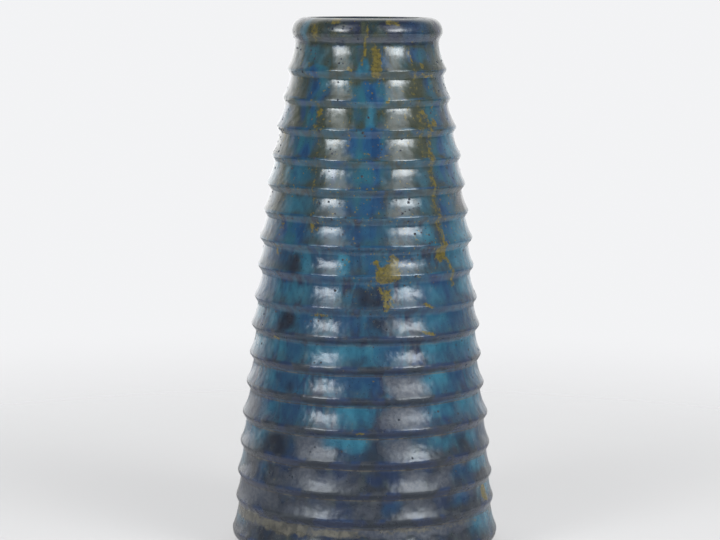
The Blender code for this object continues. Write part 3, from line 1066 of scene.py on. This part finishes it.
def make_glaze_pits(coat):
    """Pinholes with raised lips, scattered over the outside of the coat."""
    outline = [(radius * MM, height * MM, out) for radius, height, out in PIT_OUTLINE]
    pit = turn("pinhole", outline, PIT_FINISH, PIT_SIDES, NEVER_SHARP)
    source = new_object("pitted_coat", coat.data.copy())
    give_tree(source, SCATTER, {
        "Shape": pit, "Density": PIT_DENSITY, "Smallest": PIT_SMALLEST, "Largest": PIT_LARGEST,
        "Seed": PIT_SEED, "Material": PIT_FINISH})
    pits = made_plain(source, "glaze_pits")
    bpy.data.objects.remove(pit)
    pits.data.shade_smooth()
    finish_piece(pits, "outside_glaze")


coat = make_glaze_coat()
make_glaze_pits(coat)
make_clay_roll()
make_clay_wall()
make_liner_coat()
make_clay_foot()
make_clay_slab()


# ---- floor, light and camera

# Table: seen by the camera, it fades into the surroundings from one distance to another
TABLE_RADIUS = 1.2
TABLE_COLOUR = (0.82, 0.82, 0.825, 1)
TABLE_FADES_FROM = 0.15
TABLE_FADES_TO = 0.9
TABLE_FADED_NEAR = 0.4

# Two softboxes above and beside the camera. Each is bright up to a share of its height, only glows above
# that, and fades at its sides and ends.
SOFTBOX_TALL = 1.6
SOFTBOX_AWAY = 1.3
SOFTBOX_HEIGHT = 1.15
SOFTBOX_AIM = 0.2
SOFTBOX_POWER = 44.0
SOFTBOX_SIDE_FADE = 0.45
SOFTBOX_FOOT_FADE = 0.1
SOFTBOX_HEAD_FADE = 0.3
CORE_TOP = 0.33
CORE_FADE = 0.1
GLOW_ABOVE = 0.2

CAMERA_PLACE = (-0.0045, -1.442, 0.3457)
CAMERA_TILT = 7.055
CAMERA_ROLL = -0.3
CAMERA_LENS = 119.5


def make_floor():
    """A wide pale table whose far parts fade into the pale surroundings."""
    material, tree, shader = new_material("pale_table")
    place = tree.nodes.new("ShaderNodeTexCoord").outputs["Object"]
    away = add_node(tree, "ShaderNodeVectorMath", {0: place}, operation="LENGTH").outputs["Value"]
    seen = tree.nodes.new("ShaderNodeLightPath").outputs["Is Camera Ray"]
    fade = product(eased(away, TABLE_FADES_FROM, TABLE_FADES_TO, TABLE_FADED_NEAR), seen)
    set_inputs(shader, {"Base Color": TABLE_COLOUR, "Roughness": 0.6})
    clear = add_node(tree, "ShaderNodeBsdfTransparent")
    mixed = add_node(tree, "ShaderNodeMixShader", {0: fade, 1: shader.outputs[0], 2: clear.outputs[0]})
    tree.links.new(mixed.outputs[0], tree.nodes["Material Output"].inputs["Surface"])
    mesh = bpy.data.meshes.new("table")
    bm = bmesh.new()
    bmesh.ops.create_circle(bm, cap_ends=True, segments=96, radius=TABLE_RADIUS)
    bm.to_mesh(mesh)
    bm.free()
    mesh.materials.append(material)
    floor = new_object("table", mesh)


def make_surroundings():
    """Pale behind and on the left, dimmer on the right, and dark in front."""
    world = bpy.data.worlds.new("pale_surroundings")
    bpy.context.scene.world = world
    world.use_nodes = True
    tree = world.node_tree
    tree.nodes.clear()
    way = tree.nodes.new("ShaderNodeTexCoord").outputs["Generated"]
    parts = add_node(tree, "ShaderNodeSeparateXYZ", {0: way})
    behind = eased(parts.outputs["Y"], 0.15, 0.95, 0.1, 1.25)
    sideways = eased(parts.outputs["X"], -0.2, 0.9, 1.25, 0.5)
    beside = product(eased(parts.outputs["X"], 0.55, 0.95, 0.0, 0.3),
                     eased(parts.outputs["Z"], -0.1, 0.3))
    bright = total(product(behind, sideways), beside)
    around = add_node(tree, "ShaderNodeBackground", {"Color": (1, 1, 1, 1), "Strength": bright})
    seen = add_node(tree, "ShaderNodeBackground", {"Color": (0.98, 0.985, 1, 1), "Strength": 0.91})
    path = tree.nodes.new("ShaderNodeLightPath").outputs["Is Camera Ray"]
    mixed = add_node(tree, "ShaderNodeMixShader", {0: path, 1: around.outputs[0], 2: seen.outputs[0]})
    add_node(tree, "ShaderNodeOutputWorld", {"Surface": mixed.outputs[0]})


def make_softbox(name, azimuth, width):
    """A softbox at an azimuth, in degrees from the camera's side of the vase."""
    data = bpy.data.lights.new(name, "AREA")
    data.shape = "RECTANGLE"
    data.size = width
    data.size_y = SOFTBOX_TALL
    data.energy = SOFTBOX_POWER * width * SOFTBOX_TALL
    data.use_nodes = True
    tree = data.node_tree
    across = add_node(tree, "ShaderNodeSeparateXYZ", {
        0: tree.nodes.new("ShaderNodeNewGeometry").outputs["Parametric"]})
    u, v = across.outputs["X"], across.outputs["Y"]
    sides = product(eased(u, 0.0, SOFTBOX_SIDE_FADE), eased(u, 1.0, 1 - SOFTBOX_SIDE_FADE))
    ends = product(eased(v, 0.0, SOFTBOX_FOOT_FADE), eased(v, 1.0, 1 - SOFTBOX_HEAD_FADE),
                   eased(v, CORE_TOP + CORE_FADE, CORE_TOP - CORE_FADE, GLOW_ABOVE))
    set_inputs(tree.nodes["Emission"], {"Strength": product(sides, ends)})
    box = new_object(name, data)
    angle = math.radians(azimuth)
    box.location = (SOFTBOX_AWAY * math.sin(angle), -SOFTBOX_AWAY * math.cos(angle), SOFTBOX_HEIGHT)
    aim = Vector((0, 0, SOFTBOX_AIM)) - box.location
    box.rotation_euler = aim.to_track_quat("-Z", "Y").to_euler()
    box.visible_camera = False


def make_camera():
    data = bpy.data.cameras.new("camera")
    data.lens = CAMERA_LENS
    data.sensor_width = 36
    camera = new_object("camera", data)
    camera.location = CAMERA_PLACE
    camera.rotation_euler = (math.radians(90 - CAMERA_TILT), math.radians(CAMERA_ROLL), 0)
    bpy.context.scene.camera = camera


make_floor()
make_surroundings()
make_softbox("left_softbox", -42, 0.95)
make_softbox("right_softbox", 47, 1.25)
make_camera()
bpy.context.scene.view_settings.view_transform = "Standard"
